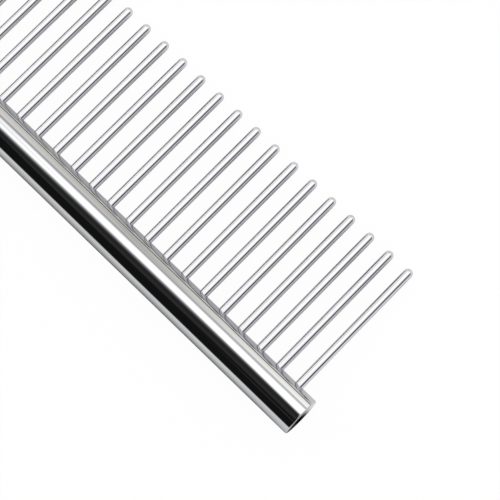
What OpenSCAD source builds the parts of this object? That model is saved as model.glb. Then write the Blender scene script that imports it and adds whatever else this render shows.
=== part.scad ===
// Straight steel grooming comb: a round bar spine that carries one row of round wire teeth.
// It lies on a level surface at z = 0, resting on the spine and on the tips of the teeth.
// X runs along the spine, Y from the spine towards the tips, and Z points up.
// The origin is on that surface, under the middle of the comb. Sizes are in millimetres.

/* [Spine] */
// Diameter of the spine bar
spine_d = 7.5; // [5:0.1:14]
// Radius of the polished edge around each end of the spine
spine_edge_r = 0.25; // [0.1:0.05:1.2]
// Length of spine past the axis of the last tooth at each end
end_margin = 4.1; // [3:0.1:20]

/* [Teeth] */
// Number of teeth in the row
tooth_count = 41; // [3:1:59]
// Distance between the axes of neighbouring teeth
tooth_pitch = 4.55; // [3:0.05:8]
// Diameter of the wire that the teeth are cut from
tooth_d = 1.7; // [1:0.05:2.6]
// Length of a tooth outside the spine, up to its rounded tip
tooth_reach = 27.7; // [12:0.1:50]
// Chamfer around the root of a tooth
root_chamfer = 0.25; // [0.05:0.05:0.4]

/* [Sockets] */
// Metal left between the bottom of a socket and the back of the spine
back_wall = 1.8; // [1:0.1:3]
// Gap all round between a tooth's root and its socket, filled by a film of braze
braze_gap = 0.02; // [0.01:0.01:0.06]
// Point angle of the drill that makes the sockets
drill_angle = 118; // [90:1:140]

/* [Hidden] */
$fn = 96;
spine_r = spine_d / 2;
tooth_r = tooth_d / 2;
socket_r = tooth_r + braze_gap;

// Places along a tooth, measured from the axis of the spine
socket_bottom = back_wall - spine_r;
root_end = socket_bottom + socket_r / tan(drill_angle / 2);
tip_centre = spine_r + tooth_reach - tooth_r;

// Sizes along the spine
row_length = (tooth_count - 1) * tooth_pitch;
spine_length = row_length + 2 * end_margin;

// Slope of the tooth row at which the spine and the tips touch the surface together
lean = asin((spine_r - tooth_r) / tip_centre);
comb_depth = spine_r + tip_centre * cos(lean) + tooth_r;
spine_y = spine_r - comb_depth / 2;

// Name of tooth i, counted from the -X end
function tooth_name(i) = str("tooth_", i < 10 ? "0" : "", i);

// Puts its children on the axis of tooth i: z = 0 on the spine's axis, +Z towards the tip
module on_tooth_axis(i) {
    translate([(i - 1) * tooth_pitch - row_length / 2, spine_y, spine_r])
        rotate([-90 - lean, 0, 0])
            children();
}

// Half outline of the spine: x is the radius, y runs along the bar
module spine_outline() {
    translate([0, -spine_length / 2])
        square([spine_r - spine_edge_r, spine_length]);
    translate([0, spine_edge_r - spine_length / 2])
        square([spine_r, spine_length - 2 * spine_edge_r]);
    for (end = [-1, 1])
        translate([spine_r - spine_edge_r, end * (spine_length / 2 - spine_edge_r)])
            circle(r = spine_edge_r);
}

// Half outline of a tooth: x is the radius, y runs from the root to the tip
module tooth_outline() {
    polygon([
        [0, root_end],
        [tooth_r - root_chamfer, root_end],
        [tooth_r, root_end + root_chamfer],
        [tooth_r, tip_centre],
        [0, tip_centre]
    ]);
    translate([0, tip_centre])
        intersection() {
            circle(r = tooth_r);
            square(tooth_r);
        }
}

// Half outline of a drilled blind socket, carried on past the surface of the spine
module socket_outline() {
    polygon([
        [0, socket_bottom],
        [socket_r, root_end],
        [socket_r, tip_centre],
        [0, tip_centre]
    ]);
}

module spine() {
    color("silver")
        difference() {
            translate([0, spine_y, spine_r])
                rotate([0, 90, 0])
                    rotate_extrude()
                        spine_outline();
            for (i = [1 : tooth_count])
                on_tooth_axis(i)
                    rotate_extrude()
                        socket_outline();
        }
}

module tooth(i) {
    color("gainsboro")
        on_tooth_axis(i)
            rotate_extrude()
                tooth_outline();
}

spine();
for (i = [1 : tooth_count])
    tooth(i);
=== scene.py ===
"""Looks of a straight steel grooming comb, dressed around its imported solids.

A polished, chromed round bar carries one row of bright wire teeth. The comb lies on a pale
surface, resting on the bar and on the tips of its teeth, inside a light tent, and is seen from
above its right end. Sizes are in millimetres until they reach Blender, which works in metres.
"""
import logging
import math
from collections.abc import Mapping, Sequence
from dataclasses import dataclass
from enum import Enum
from itertools import pairwise

import bpy
from mathutils import Matrix, Vector


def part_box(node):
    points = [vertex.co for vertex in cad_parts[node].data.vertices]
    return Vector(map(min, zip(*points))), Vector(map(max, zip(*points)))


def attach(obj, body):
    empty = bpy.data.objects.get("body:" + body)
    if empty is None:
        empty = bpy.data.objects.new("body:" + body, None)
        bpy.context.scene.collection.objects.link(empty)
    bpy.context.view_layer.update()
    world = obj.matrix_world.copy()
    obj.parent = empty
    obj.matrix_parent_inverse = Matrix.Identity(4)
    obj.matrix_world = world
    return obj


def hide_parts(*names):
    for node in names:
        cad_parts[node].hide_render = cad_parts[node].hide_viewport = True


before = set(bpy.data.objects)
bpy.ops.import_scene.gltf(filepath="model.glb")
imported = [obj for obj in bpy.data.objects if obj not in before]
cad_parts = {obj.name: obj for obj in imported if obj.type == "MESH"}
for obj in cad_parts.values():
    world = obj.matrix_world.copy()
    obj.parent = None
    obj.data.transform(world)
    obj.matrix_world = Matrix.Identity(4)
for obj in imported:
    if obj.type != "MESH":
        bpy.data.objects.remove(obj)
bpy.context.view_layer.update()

LOG = logging.getLogger("comb")
WHITE = "#FFFFFF"

# A millimetre in metres, and the distance in millimetres below which two points are one
MM = 0.001
MERGE_MM = 0.001

# Noise between which a metal goes from smooth to lined, and from clean to veiled
LINE_SPAN = (0.35, 0.7)
VEIL_SPAN = (0.3, 0.75)

# Finer layers in the noise of a metal's lines and of its waves
LINE_DETAIL = 3.0
WAVE_DETAIL = 1.0

# The one face of a flat sheet, and where its corners lie on it
SHEET_FACE = (0, 1, 2, 3)
SHEET_CORNERS = ((0, 0), (1, 0), (1, 1), (0, 1))

Colour = tuple[float, float, float, float]
Point = tuple[float, float, float]
Stops = tuple[tuple[float, float], ...]


def linear(hex_colour: str) -> Colour:
    """Turn an sRGB hex colour into the linear colour that Blender's sockets take.

    Args:
        hex_colour: Colour as "#RRGGBB".

    Returns:
        Linear red, green and blue, with an alpha of 1.
    """
    channels = [int(hex_colour[i : i + 2], 16) / 255 for i in (1, 3, 5)]
    red, green, blue = (
        c / 12.92 if c <= 0.04045 else ((c + 0.055) / 1.055) ** 2.4 for c in channels
    )
    return red, green, blue, 1.0


def add_node(
    tree: bpy.types.NodeTree,
    kind: str,
    inputs: Mapping[str | int, object] | None = None,
    stops: Sequence[tuple[float, Colour]] = (),
    **settings: object,
) -> bpy.types.Node:
    """Add a shader node with its settings, values and links.

    Args:
        tree: Node tree that takes the node.
        kind: Type of the node, without its "ShaderNode" prefix.
        inputs: Value, or output socket to link, for each input by name or number.
        stops: Position and colour of each stop in rising order, where the node is a colour ramp.
        settings: Properties of the node itself.

    Returns:
        The new node.
    """
    node = tree.nodes.new("ShaderNode" + kind)
    for name, value in settings.items():
        setattr(node, name, value)
    for key, value in (inputs or {}).items():
        if isinstance(value, bpy.types.NodeSocket):
            tree.links.new(value, node.inputs[key])
        else:
            node.inputs[key].default_value = value
    if stops:
        elements = node.color_ramp.elements
        elements.remove(elements[1])
        for number, (position, colour) in enumerate(stops):
            stop = elements.new(position) if number else elements[0]
            stop.position = position
            stop.color = colour
    return node


def new_material(name: str) -> bpy.types.Material:
    """Make a material whose node tree is still empty.

    Args:
        name: Name of the material.

    Returns:
        The new material.
    """
    material = bpy.data.materials.new(name)
    material.use_nodes = True
    material.node_tree.nodes.clear()
    return material


@dataclass(frozen=True)
class BrightMetal:
    """A polished metal surface: near-mirror, with faint lines along its grain and slow waves.

    Attributes:
        name: The metal and how its surface was made.
        tint: Colour of the metal where it is cleanest.
        veil: Colour of the metal under its thin veil of handling.
        edge: Share of the light that it keeps where it turns edge-on, as a grey.
        smooth: Roughness between the polishing lines.
        rough: Roughness on the lines.
        line_length: Length of a line along the grain.
        line_width: Width of a line across the grain.
        line_depth: Depth of a line.
        wave_length: Length of the slow waves along the grain.
        wave_width: Width of the slow waves across the grain.
        wave_depth: Depth of the waves.
    """

    name: str
    tint: str
    veil: str
    edge: str
    smooth: float
    rough: float
    line_length: float
    line_width: float
    line_depth: float
    wave_length: float
    wave_width: float
    wave_depth: float

    def material(self, grain: Matrix) -> bpy.types.Material:
        """Make the material.

        Args:
            grain: Turn from the object's axes to axes whose X runs along the grain.

        Returns:
            The finished material.
        """
        material = new_material(self.name)
        tree = material.node_tree
        place = add_node(tree, "TexCoord").outputs["Object"]
        turned = add_node(
            tree,
            "Mapping",
            {"Vector": place, "Rotation": grain.to_euler(), "Scale": (1 / MM, 1 / MM, 1 / MM)},
        ).outputs["Vector"]
        lines = self._streaks(tree, turned, self.line_length, self.line_width, LINE_DETAIL)
        waves = self._streaks(tree, turned, self.wave_length, self.wave_width, WAVE_DETAIL)
        smooth_below, lined_above = LINE_SPAN
        roughness = add_node(
            tree,
            "MapRange",
            {
                "Value": lines,
                "From Min": smooth_below,
                "From Max": lined_above,
                "To Min": self.smooth,
                "To Max": self.rough,
            },
        )
        clean_below, veiled_above = VEIL_SPAN
        colour = add_node(
            tree,
            "ValToRGB",
            {"Fac": waves},
            stops=((clean_below, linear(self.tint)), (veiled_above, linear(self.veil))),
        )
        slow = add_node(tree, "Bump", {"Height": waves, "Distance": self.wave_depth * MM})
        fine = add_node(
            tree,
            "Bump",
            {"Height": lines, "Distance": self.line_depth * MM, "Normal": slow.outputs["Normal"]},
        )
        shader = add_node(
            tree,
            "BsdfPrincipled",
            {
                "Base Color": colour.outputs["Color"],
                "Metallic": 1.0,
                "Specular Tint": linear(self.edge),
                "Roughness": roughness.outputs["Result"],
                "Normal": fine.outputs["Normal"],
            },
        )
        add_node(tree, "OutputMaterial", {"Surface": shader.outputs["BSDF"]})
        return material

    @staticmethod
    def _streaks(
        tree: bpy.types.NodeTree,
        place: bpy.types.NodeSocket,
        length: float,
        width: float,
        detail: float,
    ) -> bpy.types.NodeSocket:
        """Draw noise that is stretched along the grain.

        Args:
            tree: Node tree of the material.
            place: Position in millimetres, with X along the grain.
            length: Size of a streak along the grain, in millimetres.
            width: Size of a streak across the grain, in millimetres.
            detail: How many finer layers the noise has.

        Returns:
            The socket that carries the noise, from 0 to 1.
        """
        stretched = add_node(
            tree, "Mapping", {"Vector": place, "Scale": (1 / length, 1 / width, 1 / width)}
        )
        noise = add_node(
            tree,
            "TexNoise",
            {"Vector": stretched.outputs["Vector"], "Scale": 1.0, "Detail": detail},
        )
        return noise.outputs["Fac"]


# Chrome plate over a turned and buffed steel bar. It gives a crisp mirror with black blacks, a
# trace of cool grey, and hairlines along the bar from the buffing wheel. Real hairlines are about
# 0.03 mm apart, so they are drawn about ten times coarser to show at all.
CHROME_PLATE = BrightMetal(
    name="buffed_chrome_plate",
    tint="#C9CACB",
    veil="#C3C4C6",
    edge="#EDEDEE",
    smooth=0.03,
    rough=0.055,
    line_length=16.0,
    line_width=0.3,
    line_depth=0.0002,
    wave_length=11.0,
    wave_width=4.0,
    wave_depth=0.003,
)

# Stainless steel wire, drawn, straightened and tumbled bright. It gives a bright, cool mirror that
# darkens where it turns edge-on, fine draw lines along each tooth, and reflections that wander from
# tooth to tooth, because the wire is never quite straight. Real draw lines are about 0.03 mm apart,
# so they are drawn about five times coarser.
BRIGHT_WIRE = BrightMetal(
    name="bright_drawn_stainless_wire",
    tint="#D6D6D8",
    veil="#CFCFD2",
    edge="#CFCFD1",
    smooth=0.015,
    rough=0.035,
    line_length=9.0,
    line_width=0.16,
    line_depth=0.0003,
    wave_length=9.0,
    wave_width=3.0,
    wave_depth=0.012,
)


@dataclass(frozen=True)
class Corner:
    """A corner of a face.

    Attributes:
        place: Where it lies, in millimetres.
        facing: Which way the true surface faces there.
    """

    place: Point
    facing: Point


class PatchMesh:
    """A closed mesh made of patches that share their border points and keep their true normals."""

    def __init__(self) -> None:
        """Start with no points and no faces."""
        self._points: list[Point] = []
        self._numbers: dict[tuple[int, ...], int] = {}
        self._faces: list[list[int]] = []
        self._facings: list[Point] = []

    def face(self, corners: Sequence[Corner]) -> None:
        """Add one face, wound so that it faces the way its corners do.

        Args:
            corners: Its corners in order, one way round or the other.
        """
        first, second, third = (Vector(corner.place) for corner in corners[:3])
        facing = sum((Vector(corner.facing) for corner in corners), Vector())
        if (second - first).cross(third - first).dot(facing) < 0:
            corners = corners[::-1]
        self._faces.append([self._number(corner.place) for corner in corners])
        self._facings.extend(corner.facing for corner in corners)

    def grid(self, rows: Sequence[Sequence[Corner]], closed: bool = False) -> None:
        """Add a patch of four-sided faces.

        Args:
            rows: Rows of corners, all of one length.
            closed: True if each row is a ring.
        """
        for lower, upper in pairwise(rows):
            count = len(lower)
            for i in range(count if closed else count - 1):
                j = (i + 1) % count
                self.face((lower[i], lower[j], upper[j], upper[i]))

    def fan(self, middle: Corner, rim: Sequence[Corner]) -> None:
        """Close a ring with triangles.

        Args:
            middle: The corner that all triangles share.
            rim: The corners of the ring.
        """
        for i, corner in enumerate(rim):
            self.face((middle, corner, rim[(i + 1) % len(rim)]))

    def piece(self, name: str, placing: Matrix, material: bpy.types.Material) -> bpy.types.Object:
        """Turn the patches into an object of the scene.

        Args:
            name: Name of the piece.
            placing: Turn and shift from the patches' axes, in millimetres, to the frame, in metres.
            material: Finish of the whole piece.

        Returns:
            The new object.
        """
        mesh = bpy.data.meshes.new(name)
        mesh.from_pydata([placing @ Vector(point) for point in self._points], [], self._faces)
        mesh.shade_smooth()
        turn = placing.to_3x3().normalized()
        facings = [(turn @ Vector(facing)).normalized() for facing in self._facings]
        mesh.normals_split_custom_set(facings)
        mesh.materials.append(material)
        mesh.update()
        obj = bpy.data.objects.new(name, mesh)
        bpy.context.scene.collection.objects.link(obj)
        return obj

    def _number(self, place: Point) -> int:
        """Find the point at a place, and add it if it is new.

        Args:
            place: Where the point lies, in millimetres.

        Returns:
            Its number in the mesh.
        """
        key = tuple(round(value / MERGE_MM) for value in place)
        if key not in self._numbers:
            self._numbers[key] = len(self._points)
            self._points.append(place)
        return self._numbers[key]


@dataclass(frozen=True)
class CombAxes:
    """The comb's own axes: X along the spine, Y from its axis to the tips, Z out of the row.

    Attributes:
        spine_r: Radius of the spine.
        spine_length: Length of the spine.
        tooth_r: Radius of a tooth.
        tip_centre: Distance from the spine's axis to the centre of a tooth's round tip.
        placing: Turn and shift from these axes, in millimetres, to the frame, in metres.
        teeth: Place of each tooth along X, by the name of its node.
    """

    spine_r: float
    spine_length: float
    tooth_r: float
    tip_centre: float
    placing: Matrix
    teeth: Mapping[str, float]

    @classmethod
    def from_frame(cls) -> "CombAxes":
        """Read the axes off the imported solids.

        Returns:
            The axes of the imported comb.
        """
        names = sorted(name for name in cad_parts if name.startswith("tooth_"))
        low, high = (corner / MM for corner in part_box("spine"))
        tooth_low, tooth_high = (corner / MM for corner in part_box(names[0]))
        spine_r = (high.z - low.z) / 2
        tooth_r = (tooth_high.x - tooth_low.x) / 2
        axis = Vector((0, high.y - spine_r, low.z + spine_r))
        tip = Vector((0, tooth_high.y - tooth_r, tooth_low.z + tooth_r))
        towards_tips = (tip - axis).normalized()
        along = Vector((1, 0, 0))
        turn = Matrix((along, towards_tips, along.cross(towards_tips))).transposed()
        return cls(
            spine_r=spine_r,
            spine_length=high.x - low.x,
            tooth_r=tooth_r,
            tip_centre=(tip - axis).length,
            placing=Matrix.Scale(MM, 4) @ Matrix.Translation(axis) @ turn.to_4x4(),
            teeth={name: sum(corner.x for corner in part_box(name)) / 2 / MM for name in names},
        )


@dataclass(frozen=True)
class Socket:
    """The blind drilled hole that holds a tooth, with its places measured from the spine's axis.

    Attributes:
        back_wall: Metal left behind the drill's point.
        braze_gap: Gap all round the tooth.
        drill_angle: Point angle of the drill.
    """

    back_wall: float = 1.8
    braze_gap: float = 0.02
    drill_angle: float = 118.0

    @property
    def half_angle(self) -> float:
        """Half the point angle, in radians."""
        return math.radians(self.drill_angle / 2)

    def radius(self, axes: CombAxes) -> float:
        """Radius of the hole."""
        return axes.tooth_r + self.braze_gap

    def bottom(self, axes: CombAxes) -> float:
        """Height of the drill's point."""
        return self.back_wall - axes.spine_r

    def shoulder(self, axes: CombAxes) -> float:
        """Height where the drill's point meets the wall, which is also the root of the tooth."""
        return self.bottom(axes) + self.radius(axes) / math.tan(self.half_angle)


@dataclass
class Spine:
    """The chromed round bar, with a socket for each tooth and a polished edge round each end.

    Attributes:
        axes: The comb's own axes.
        socket: The hole for a tooth.
        edge_r: Radius of the edge round each end.
        rim_facets: Faces round the rim of a socket, a multiple of 8.
        rim_rows: Rows of faces between a rim and the square cell round it.
        skin_rows: Rows of faces round the rest of the bar.
        margin_rows: Columns of faces between the last cell and the rounded edge.
        edge_rows: Rows of faces over the rounded edge.
    """

    axes: CombAxes
    socket: Socket = Socket()
    edge_r: float = 0.25
    rim_facets: int = 32
    rim_rows: int = 4
    skin_rows: int = 72
    margin_rows: int = 3
    edge_rows: int = 8

    def build(self) -> bpy.types.Object:
        """Make the bar in place of its node.

        Returns:
            The dressed bar.
        """
        mesh = PatchMesh()
        for x in self.axes.teeth.values():
            self._cell(mesh, x)
            self._hole(mesh, x)
        self._plain_skin(mesh)
        for end in (-1, 1):
            self._end(mesh, end)
        chrome = CHROME_PLATE.material(Matrix.Identity(3))
        piece = mesh.piece("spine_bar", self.axes.placing, chrome)
        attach(piece, "root")
        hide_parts("spine")
        return piece

    @property
    def half_cell(self) -> float:
        """Half the distance between neighbouring teeth."""
        first, second, *_ = self.axes.teeth.values()
        return (second - first) / 2

    def _offsets(self) -> list[float]:
        """Place the points along one side of a cell.

        Returns:
            Their distances from the middle of the side, in rising order.
        """
        steps = self.rim_facets // 4
        turns = [math.pi / 4 * (2 * i / steps - 1) for i in range(steps + 1)]
        return [self.half_cell * math.tan(turn) for turn in turns]

    def _margins(self) -> tuple[list[float], list[float]]:
        """Place the columns between the cells and the rounded edges.

        Returns:
            The columns at the -X end and at the +X end, both in rising order.
        """
        reach = self.axes.spine_length / 2 - self.edge_r
        cells = max(self.axes.teeth.values()) + self.half_cell
        columns = [
            cells + (reach - cells) * i / self.margin_rows for i in range(self.margin_rows + 1)
        ]
        return [-x for x in reversed(columns)], columns

    def _skin(self, x: float, angle: float) -> Corner:
        """Give the corner of the skin at a place along the bar and an angle from the teeth."""
        y, z = math.cos(angle), math.sin(angle)
        return Corner((x, self.axes.spine_r * y, self.axes.spine_r * z), (0, y, z))

    def _row_angles(self) -> list[float]:
        """Angles of the rows across the cells."""
        return [math.asin(offset / self.axes.spine_r) for offset in self._offsets()]

    def _skin_angles(self) -> list[float]:
        """Place the rows round the rest of the bar.

        Returns:
            Their angles, from one border of the cells to the other.
        """
        start = math.asin(self.half_cell / self.axes.spine_r)
        sweep = 2 * (math.pi - start)
        return [start + sweep * i / self.skin_rows for i in range(self.skin_rows + 1)]

    def _rim(self, x: float, share: float) -> list[Corner]:
        """Give a ring of corners on the skin round a socket.

        Args:
            x: Place of the tooth along the bar.
            share: 0 at the rim of the socket, 1 at the border of its cell.

        Returns:
            The corners of the ring.
        """
        inner = self.socket.radius(self.axes)
        ring: list[Corner] = []
        for i in range(self.rim_facets):
            angle = 2 * math.pi * i / self.rim_facets
            out_x, out_z = math.cos(angle), math.sin(angle)
            outer = self.half_cell / max(abs(out_x), abs(out_z))
            radius = inner + (outer - inner) * share
            ring.append(
                self._skin(x + radius * out_x, math.asin(radius * out_z / self.axes.spine_r))
            )
        return ring

    def _cell(self, mesh: PatchMesh, x: float) -> None:
        """Add the square of skin round the socket of the tooth at x."""
        mesh.grid([self._rim(x, i / self.rim_rows) for i in range(self.rim_rows + 1)], closed=True)

    def _hole(self, mesh: PatchMesh, x: float) -> None:
        """Add the wall and the drilled point of a socket.

        Args:
            mesh: Mesh that takes the patches.
            x: Place of the tooth along the bar.
        """
        shoulder = self.socket.shoulder(self.axes)
        lean_in, lean_up = math.cos(self.socket.half_angle), math.sin(self.socket.half_angle)
        radius = self.socket.radius(self.axes)
        top: list[Corner] = []
        foot: list[Corner] = []
        cone: list[Corner] = []
        for i, rim in enumerate(self._rim(x, 0)):
            angle = 2 * math.pi * i / self.rim_facets
            out_x, out_z = math.cos(angle), math.sin(angle)
            low = (x + radius * out_x, shoulder, radius * out_z)
            top.append(Corner(rim.place, (-out_x, 0, -out_z)))
            foot.append(Corner(low, (-out_x, 0, -out_z)))
            cone.append(Corner(low, (-out_x * lean_in, lean_up, -out_z * lean_in)))
        mesh.grid([top, foot], closed=True)
        mesh.fan(Corner((x, self.socket.bottom(self.axes), 0), (0, 1, 0)), cone)

    def _plain_skin(self, mesh: PatchMesh) -> None:
        """Add the skin outside the cells.

        Args:
            mesh: Mesh that takes the patches.
        """
        left, right = self._margins()
        for columns in (left, right):
            mesh.grid([[self._skin(x, angle) for x in columns] for angle in self._row_angles()])
        columns = list(left)
        for x in self.axes.teeth.values():
            columns.extend(x + offset for offset in self._offsets()[1:])
        columns.extend(right[1:])
        mesh.grid([[self._skin(x, angle) for x in columns] for angle in self._skin_angles()])

    def _end(self, mesh: PatchMesh, end: int) -> None:
        """Add the rounded edge and the flat face at one end.

        Args:
            mesh: Mesh that takes the patches.
            end: -1 for the end towards -X, 1 for the other.
        """
        angles = self._row_angles() + self._skin_angles()[1:-1]
        half = self.axes.spine_length / 2 - self.edge_r
        rows: list[list[Corner]] = []
        for i in range(self.edge_rows + 1):
            turn = math.pi / 2 * i / self.edge_rows
            radius = self.axes.spine_r - self.edge_r * (1 - math.cos(turn))
            x = end * (half + self.edge_r * math.sin(turn))
            rows.append([self._ring_corner(x, radius, end * turn, angle) for angle in angles])
        mesh.grid(rows, closed=True)
        flat = [Corner(corner.place, (end, 0, 0)) for corner in rows[-1]]
        mesh.fan(Corner((flat[0].place[0], 0, 0), (end, 0, 0)), flat)

    @staticmethod
    def _ring_corner(x: float, radius: float, tilt: float, angle: float) -> Corner:
        """Give a corner round the bar whose surface is tilted towards its end.

        Args:
            x: Its place along the bar.
            radius: Its distance from the bar's axis.
            tilt: Angle at which the surface looks along X, in radians.
            angle: Its angle from the teeth, in radians.

        Returns:
            The corner.
        """
        y, z = math.cos(angle), math.sin(angle)
        across = math.cos(tilt)
        return Corner((x, radius * y, radius * z), (math.sin(tilt), across * y, across * z))


@dataclass
class ToothRow:
    """The row of wire teeth, each a straight round pin with a chamfered root and a round tip.

    Attributes:
        axes: The comb's own axes.
        socket: The hole for a tooth.
        root_chamfer: Chamfer round the root.
        facets: Faces round a tooth.
        shank_rows: Rows of faces along the straight part.
        tip_rows: Rows of faces over the round tip.
    """

    axes: CombAxes
    socket: Socket = Socket()
    root_chamfer: float = 0.25
    facets: int = 40
    shank_rows: int = 8
    tip_rows: int = 10

    def build(self) -> list[bpy.types.Object]:
        """Make the teeth in place of their nodes.

        Returns:
            The dressed teeth, in order along the spine.
        """
        turn = self.axes.placing.to_3x3().normalized()
        along_tooth = (turn @ Matrix.Rotation(math.pi / 2, 3, "Z")).inverted()
        wire = BRIGHT_WIRE.material(along_tooth)
        return [self._tooth(node, x, wire) for node, x in self.axes.teeth.items()]

    def _tooth(self, node: str, x: float, wire: bpy.types.Material) -> bpy.types.Object:
        """Make one tooth.

        Args:
            node: Name of the node that it stands for.
            x: Its place along the spine.
            wire: Its finish.

        Returns:
            The dressed tooth.
        """
        mesh = PatchMesh()
        radius, tip = self.axes.tooth_r, self.axes.tip_centre
        root = self.socket.shoulder(self.axes)
        chamfered = radius - self.root_chamfer
        shank = root + self.root_chamfer
        # The chamfer is as long as it is deep, so it leans back by 45 degrees.
        slant = math.radians(-45)
        mesh.fan(Corner((x, root, 0), (0, -1, 0)), self._ring(x, chamfered, root, -math.pi / 2))
        mesh.grid(
            [self._ring(x, chamfered, root, slant), self._ring(x, radius, shank, slant)],
            closed=True,
        )
        heights = [shank + (tip - shank) * i / self.shank_rows for i in range(self.shank_rows + 1)]
        mesh.grid([self._ring(x, radius, height, 0) for height in heights], closed=True)
        turns = [math.pi / 2 * i / self.tip_rows for i in range(self.tip_rows)]
        dome = [
            self._ring(x, radius * math.cos(turn), tip + radius * math.sin(turn), turn)
            for turn in turns
        ]
        mesh.grid(dome, closed=True)
        mesh.fan(Corner((x, tip + radius, 0), (0, 1, 0)), dome[-1])
        piece = mesh.piece(node.replace("tooth", "wire_tooth"), self.axes.placing, wire)
        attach(piece, "root")
        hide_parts(node)
        return piece

    def _ring(self, x: float, radius: float, height: float, tilt: float) -> list[Corner]:
        """Give a ring of corners round a tooth.

        Args:
            x: Place of the tooth along the spine.
            radius: Radius of the ring.
            height: Distance of the ring from the spine's axis.
            tilt: Angle at which the surface looks towards the tip, in radians.

        Returns:
            The corners of the ring.
        """
        ring: list[Corner] = []
        across = math.cos(tilt)
        for i in range(self.facets):
            angle = 2 * math.pi * i / self.facets
            out_x, out_z = math.cos(angle), math.sin(angle)
            ring.append(
                Corner(
                    (x + radius * out_x, height, radius * out_z),
                    (across * out_x, math.sin(tilt), across * out_z),
                )
            )
        return ring


@dataclass
class PhotoCamera:
    """The camera, above the comb's right end, with the spine running down to the right.

    Attributes:
        place: Where the camera stands, in millimetres.
        aim: Point at the middle of the picture.
        spine_slope: Slope of the spine in the picture, in degrees downwards to the right.
        lens: Focal length on Blender's 36 mm sensor.
    """

    place: Point = (116.26, -9.37, 295.33)
    aim: Point = (68.54, 0.88, 2.0)
    spine_slope: float = 43.54
    lens: float = 123.84

    def build(self) -> bpy.types.Object:
        """Add the camera and make it the scene's own.

        Returns:
            The camera.
        """
        back = (Vector(self.place) - Vector(self.aim)).normalized()
        along = Vector((1, 0, 0))
        level = (along - along.dot(back) * back).normalized()
        upright = back.cross(level)
        turn = math.radians(self.spine_slope)
        right = math.cos(turn) * level + math.sin(turn) * upright
        up = math.cos(turn) * upright - math.sin(turn) * level
        camera = bpy.data.objects.new("photo_camera", bpy.data.cameras.new("photo_camera"))
        turned = Matrix((right, up, back)).transposed().to_4x4()
        camera.matrix_world = Matrix.Translation(Vector(self.place) * MM) @ turned
        camera.data.lens = self.lens
        bpy.context.scene.collection.objects.link(camera)
        bpy.context.scene.camera = camera
        return camera


class Panel(Enum):
    """The five sides of the light tent, as the picture shows them from above."""

    CEILING = "tent_ceiling"
    TOP = "tent_top_wall"
    BOTTOM = "tent_bottom_wall"
    LEFT = "tent_left_wall"
    RIGHT = "tent_right_wall"


@dataclass(frozen=True)
class PanelGlow:
    """How a side of the tent glows: two runs of light over its height, blended over its width.

    The ceiling's height runs up the picture. Places are in millimetres, and a run is level outside
    its first and last place.

    Attributes:
        tint: Colour of the light.
        dim: Place over the height and brightness, where the blend is 0.
        bright: Place over the height and brightness, where the blend is 1.
        blend: Place over the width and blend.
    """

    tint: str
    dim: Stops
    bright: Stops
    blend: Stops


TENT_GLOW: Mapping[Panel, PanelGlow] = {
    # The dark flag at its lower left gives the bar its black band with two faint streaks, the
    # bright strip gives the white band, and the dip towards the top wall gives the thin grey line.
    Panel.CEILING: PanelGlow(
        tint=WHITE,
        dim=(
            (-2000, 0.010),
            (-1050, 0.010),
            (-900, 0.05),
            (-750, 0.010),
            (-600, 0.010),
            (-450, 0.03),
            (-360, 0.05),
            (-240, 0.035),
            (-75, 0.028),
            (65, 0.03),
            (170, 0.12),
            (275, 0.40),
            (365, 1.1),
            (455, 1.75),
            (550, 1.8),
            (640, 1.7),
            (740, 1.4),
            (870, 1.22),
            (1400, 1.17),
            (2000, 1.0),
        ),
        bright=(
            (-2000, 0.06),
            (-1250, 0.08),
            (-850, 0.32),
            (-495, 1.08),
            (-220, 1.3),
            (-40, 1.42),
            (160, 1.7),
            (540, 2.1),
            (930, 2.1),
            (1110, 1.6),
            (1300, 1.1),
            (1470, 0.58),
            (1600, 0.52),
            (1800, 0.68),
            (2000, 0.85),
        ),
        blend=((0, 0), (225, 1), (900, 1), (1150, 0.55)),
    ),
    # Its glow gives the bar's warm grey band, and its dark foot the dark line next to the teeth.
    Panel.TOP: PanelGlow(
        tint="#FFFCF6",
        dim=((0, 0.06), (60, 0.06), (90, 0.72), (1500, 0.72)),
        bright=((0, 0.06), (60, 0.06), (90, 1.25), (400, 1.4), (1000, 1.6), (1500, 1.6)),
        blend=((-1200, 0.5), (700, 0.45), (976, 0.3), (1200, 0), (1507, 0.8), (1700, 1), (2000, 1)),
    ),
    # Its dark left part keeps the black band black. Its right part is like the right wall.
    Panel.BOTTOM: PanelGlow(
        tint="#F4F7FF",
        dim=((0, 0.010), (1500, 0.010)),
        bright=((0, 0.95), (560, 0.9), (750, 0.36), (1000, 0.08), (1500, 0.04)),
        blend=((300, 0), (1800, 1)),
    ),
    # Its bright upper part gives the teeth a pale left flank, and its dark foot the outline.
    Panel.LEFT: PanelGlow(
        tint=WHITE,
        dim=((0, 0.55), (70, 0.5), (120, 0.010), (1500, 0.010)),
        bright=((0, 0.03), (530, 0.03), (580, 2.4), (700, 2.0), (1000, 1.55), (1500, 1.25)),
        blend=((300, 0), (1100, 1), (1450, 1), (1700, 0.85), (2000, 0.8)),
    ),
    # Where it is dark above and pale below, it gives the teeth a dark line and a cool right flank.
    Panel.RIGHT: PanelGlow(
        tint="#F4F7FF",
        dim=((0, 0.95), (560, 0.9), (750, 0.36), (1000, 0.08), (1500, 0.04)),
        bright=((0, 1.0), (1500, 1.3)),
        blend=((-600, 0), (1200, 1)),
    ),
}


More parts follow.
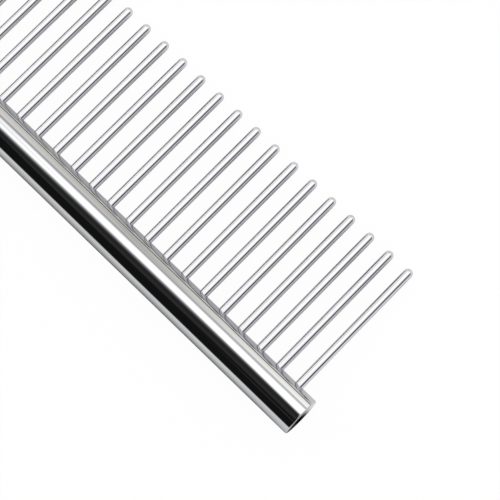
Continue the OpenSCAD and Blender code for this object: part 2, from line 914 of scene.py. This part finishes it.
@dataclass
class LightTent:
    """The tent round the comb, seen only in reflections: glowing cloth with dark flags on it.

    Attributes:
        middle: Point of the surface under the middle of the tent.
        turn: Angle from the spine to the picture's right, in degrees.
        half_width: Distance from the middle to the top, bottom and right walls.
        left_width: Distance from the middle to the left wall.
        height: Height of its ceiling.
    """

    middle: Point = (68.5, 0.9, 0.0)
    turn: float = 44.1
    half_width: float = 2000.0
    left_width: float = 1200.0
    height: float = 1500.0

    def build(self) -> list[bpy.types.Object]:
        """Hang the five sides.

        Returns:
            The sides.
        """
        return [self._side(panel) for panel in Panel]

    def _corner_and_sides(self, panel: Panel) -> tuple[Vector, Vector, Vector]:
        """Give where a side hangs.

        Args:
            panel: The side.

        Returns:
            One of its corners, and the way along its width and up its height from there.
        """
        turn = Matrix.Rotation(math.radians(self.turn), 3, "Z")
        low = Vector(self.middle) + turn @ Vector((-self.left_width, -self.half_width, 0))
        across = turn @ Vector((self.left_width + self.half_width, 0, 0))
        up = turn @ Vector((0, 2 * self.half_width, 0))
        rise = Vector((0, 0, self.height))
        return {
            Panel.CEILING: (low + rise, across, up),
            Panel.TOP: (low + up, across, rise),
            Panel.BOTTOM: (low, across, rise),
            Panel.LEFT: (low, up, rise),
            Panel.RIGHT: (low + across, up, rise),
        }[panel]

    def _side(self, panel: Panel) -> bpy.types.Object:
        """Hang one side.

        Args:
            panel: The side.

        Returns:
            The side.
        """
        corner, width, height = (edge * MM for edge in self._corner_and_sides(panel))
        mesh = bpy.data.meshes.new(panel.value)
        corners = [corner + width * across + height * up for across, up in SHEET_CORNERS]
        mesh.from_pydata(corners, [], [SHEET_FACE])
        layer = mesh.uv_layers.new(name="sides")
        for loop, place in zip(layer.data, SHEET_CORNERS):
            loop.uv = place
        mesh.materials.append(self._cloth(panel))
        side = bpy.data.objects.new(panel.value, mesh)
        bpy.context.scene.collection.objects.link(side)
        side.visible_camera = False
        side.visible_diffuse = False
        side.visible_shadow = False
        return side

    def _cloth(self, panel: Panel) -> bpy.types.Material:
        """Make the cloth of one side.

        It is woven cloth lit from behind. It gives the metal a glow without texture or lamps to
        reflect, with the soft borders of the flags behind it.

        Args:
            panel: The side.

        Returns:
            The finished material.
        """
        glow = TENT_GLOW[panel]
        up_run = (-self.half_width, self.half_width)
        across_run = (-self.left_width, self.half_width)
        wide = up_run if panel in (Panel.LEFT, Panel.RIGHT) else across_run
        tall = up_run if panel is Panel.CEILING else (0.0, self.height)
        material = new_material(panel.value + "_backlit_woven_cloth")
        tree = material.node_tree
        place = add_node(tree, "SeparateXYZ", {"Vector": add_node(tree, "TexCoord").outputs["UV"]})
        dim, bright = (
            add_node(tree, "ValToRGB", {"Fac": place.outputs["Y"]}, stops=self._ramp(run, tall))
            for run in (glow.dim, glow.bright)
        )
        blend = add_node(
            tree,
            "ValToRGB",
            {"Fac": place.outputs["X"]},
            stops=self._ramp(glow.blend, wide),
        )
        level = add_node(
            tree,
            "Mix",
            {
                "Factor": blend.outputs["Color"],
                "A": dim.outputs["Color"],
                "B": bright.outputs["Color"],
            },
        )
        shine = add_node(
            tree, "Emission", {"Color": linear(glow.tint), "Strength": level.outputs["Result"]}
        )
        add_node(tree, "OutputMaterial", {"Surface": shine.outputs["Emission"]})
        return material

    @staticmethod
    def _ramp(run: Stops, span: tuple[float, float]) -> list[tuple[float, Colour]]:
        """Turn places in millimetres into the stops of a colour ramp.

        Args:
            run: Place and brightness of each stop.
            span: Places of the two ends of the side.

        Returns:
            Position and grey of each stop.
        """
        low, high = span
        return [((place - low) / (high - low), (level, level, level, 1.0)) for place, level in run]


@dataclass
class Studio:
    """The white paper under the comb and the table past its far edge, in an evenly white room.

    Attributes:
        table_side: Side of the square table.
        paper_edge: Where the paper ends along Y, past the tips of the teeth.
        paper: Colour of the paper.
        wood: Colour of the table, which only reflections show.
        camera_white: Share of plain white in the paper that the camera sees, the rest being lit.
        bright_side: Direction of the tent's bright side, towards which the painted shade that
            reflections show on the paper is measured.
        shade_reach: How far the comb's painted shade reaches over the paper, in millimetres.
        shade_from: Open share of that side at which the shade is deepest.
        least_light: Light that the deepest shade still has.
        contact_side: Direction towards which the darker painted shade close to the comb is
            measured.
        contact_reach: How far that darker shade reaches, in millimetres.
        contact_from: Open share of that side at which it is deepest.
        contact_to: Open share of that side at which it ends.
        shade_samples: Rays that look for the open share at a point.
    """

    table_side: float = 6000.0
    paper_edge: float = 75.0
    paper: str = "#F3F3F1"
    wood: str = "#6E5A3C"
    camera_white: float = 0.96
    bright_side: Point = (0.0, 1.0, 0.1)
    shade_reach: float = 60.0
    shade_from: float = 0.28
    least_light: float = 0.03
    contact_side: Point = (-0.85, 0.5, 0.1)
    contact_reach: float = 6.0
    contact_from: float = 0.6
    contact_to: float = 0.76
    shade_samples: int = 32

    def build(self) -> list[bpy.types.Object]:
        """Lay the table and the paper and set the light.

        Returns:
            The paper and the table.
        """
        self._room()
        half = self.table_side / 2
        paper = self._sheet("paper_sheet", (-half, self.paper_edge), self._paper())
        board = self._sheet("table_board", (self.paper_edge, half), self._wood())
        board.visible_camera = False
        return [paper, board]

    def _sheet(
        self, name: str, reach: tuple[float, float], material: bpy.types.Material
    ) -> bpy.types.Object:
        """Lay a flat sheet.

        Args:
            name: Name of the sheet.
            reach: Where it starts and ends along Y.
            material: Its finish.

        Returns:
            The sheet.
        """
        half = self.table_side / 2
        low, high = reach
        mesh = bpy.data.meshes.new(name)
        corners = [(-half, low, 0), (half, low, 0), (half, high, 0), (-half, high, 0)]
        mesh.from_pydata([Vector(corner) * MM for corner in corners], [], [SHEET_FACE])
        mesh.materials.append(material)
        sheet = bpy.data.objects.new(name, mesh)
        bpy.context.scene.collection.objects.link(sheet)
        return sheet

    def _wood(self) -> bpy.types.Material:
        """Make the oiled wood of the table.

        Oil leaves oak matt and brown. Only reflections show it, as the thin brown line along the
        bar, where its grain is too fine to see.

        Returns:
            The finished material.
        """
        material = new_material("oiled_oak")
        tree = material.node_tree
        matt = add_node(tree, "BsdfDiffuse", {"Color": linear(self.wood)})
        add_node(tree, "OutputMaterial", {"Surface": matt.outputs["BSDF"]})
        return material

    @staticmethod
    def _room() -> None:
        """Set a plain white world."""
        world = bpy.data.worlds.new("white_room")
        world.use_nodes = True
        tree = world.node_tree
        tree.nodes.clear()
        shine = add_node(tree, "Background", {"Color": linear(WHITE), "Strength": 1.0})
        add_node(tree, "OutputWorld", {"Surface": shine.outputs["Background"]})
        bpy.context.scene.world = world

    def _paper(self) -> bpy.types.Material:
        """Make the matt paper.

        Uncoated pressed paper has no gloss. It gives the eye a plain white ground with a trace of
        the comb's shadow. To the metal it is a glowing white with painted shade, darker close to
        the comb.

        Returns:
            The finished material.
        """
        material = new_material("matt_white_paper")
        tree = material.node_tree
        path = add_node(tree, "LightPath").outputs
        matt = add_node(tree, "BsdfDiffuse", {"Color": linear(self.paper)})
        white = add_node(tree, "Emission", {"Color": linear(WHITE), "Strength": 1.0})
        share = add_node(
            tree, "Math", {0: path["Is Camera Ray"], 1: self.camera_white}, operation="MULTIPLY"
        )
        straight = add_node(
            tree,
            "MixShader",
            {"Fac": share.outputs["Value"], 1: matt.outputs["BSDF"], 2: white.outputs["Emission"]},
        )
        # Glossy and transmission rays see painted shade in place of the lit paper.
        mirrored = add_node(
            tree,
            "Math",
            {0: path["Is Glossy Ray"], 1: path["Is Transmission Ray"]},
            operation="MAXIMUM",
        )
        both = add_node(
            tree,
            "MixShader",
            {
                "Fac": mirrored.outputs["Value"],
                1: straight.outputs["Shader"],
                2: self._painted_shade(tree),
            },
        )
        add_node(tree, "OutputMaterial", {"Surface": both.outputs["Shader"]})
        return material

    def _painted_shade(self, tree: bpy.types.NodeTree) -> bpy.types.NodeSocket:
        """Give white that darkens where the comb keeps the tent's light off the paper.

        Args:
            tree: Node tree of the paper.

        Returns:
            The socket of the shaded white.
        """
        # Painted shade: the paper's glow in reflections is darkened by how much of the tent the
        # comb hides, found by occlusion rays rather than by real light.
        wide = add_node(
            tree,
            "MapRange",
            {
                "Value": self._open_share(tree, self.bright_side, self.shade_reach),
                "From Min": self.shade_from,
                "To Min": self.least_light,
            },
            interpolation_type="SMOOTHSTEP",
        )
        near = add_node(
            tree,
            "MapRange",
            {
                "Value": self._open_share(tree, self.contact_side, self.contact_reach),
                "From Min": self.contact_from,
                "From Max": self.contact_to,
            },
        )
        level = add_node(
            tree,
            "Math",
            {0: wide.outputs["Result"], 1: near.outputs["Result"]},
            operation="MULTIPLY",
        )
        shine = add_node(
            tree, "Emission", {"Color": linear(WHITE), "Strength": level.outputs["Value"]}
        )
        return shine.outputs["Emission"]

    def _open_share(
        self, tree: bpy.types.NodeTree, side: Point, reach: float
    ) -> bpy.types.NodeSocket:
        """Measure how much of one side of the tent is open to the paper.

        Args:
            tree: Node tree of the paper.
            side: Direction of that side.
            reach: How far things that hide it are looked for, in millimetres.

        Returns:
            The socket of the open share, from 0 to 1.
        """
        # The socket of a normal holds no value of its own, so the direction comes from a node.
        towards = add_node(tree, "CombineXYZ", dict(enumerate(Vector(side).normalized())))
        share = add_node(
            tree,
            "AmbientOcclusion",
            {"Distance": reach * MM, "Normal": towards.outputs["Vector"]},
            samples=self.shade_samples,
        )
        return share.outputs["AO"]


def main() -> None:
    """Build the comb and its studio, and report each piece."""
    logging.basicConfig(level=logging.INFO, format="%(name)s: %(message)s")
    bpy.context.scene.view_settings.view_transform = "Standard"
    PhotoCamera().build()
    axes = CombAxes.from_frame()
    pieces = [Spine(axes).build(), *ToothRow(axes).build()]
    for piece in pieces:
        LOG.info("%s: %d faces", piece.name, len(piece.data.polygons))
    LightTent().build()
    Studio().build()


if __name__ == "__main__":
    main()
